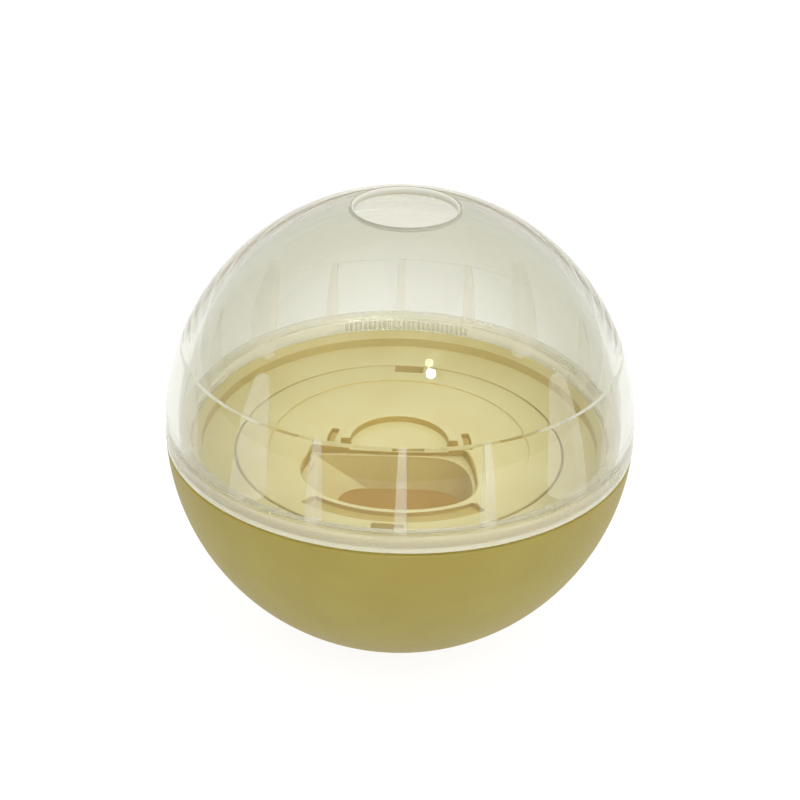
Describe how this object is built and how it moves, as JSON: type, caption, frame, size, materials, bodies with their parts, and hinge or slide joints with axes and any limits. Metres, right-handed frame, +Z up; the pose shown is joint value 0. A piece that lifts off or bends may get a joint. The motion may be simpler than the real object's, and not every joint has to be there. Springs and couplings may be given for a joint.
{
  "type": "dog treat dispenser ball",
  "caption": "Round treat dispenser: clear dome with a fill hole over a yellow bowl, split by a tray with a turning disc whose window sets the opening.",
  "frame": {"origin": "centre of the small flat under the bowl, on the floor", "axes": "+Z up through the middle of the fill hole, -Y towards the viewer of the picture"},
  "size_m": [0.076, 0.076, 0.074],
  "materials": {
    "bowl": "satin moulded plastic",
    "divider": "satin moulded plastic",
    "dome": "clear glossy plastic"
  },
  "bodies": {
    "base": {"base_bowl": "bowl", "divider_tray": "divider"},
    "disc": {"adjuster_disc": "divider"},
    "dome": {"clear_dome": "dome"}
  },
  "joints": [
    {"name": "disc_turn", "type": "hinge", "parent": "base", "child": "disc", "pos_m": [0, 0, 0.0311], "axis": [0, 0, 1], "continuous": true},
    {"name": "dome_lift", "type": "slide", "parent": "base", "child": "dome", "axis": [0, 0, 1], "range_m": [0, 0.045]}
  ]
}
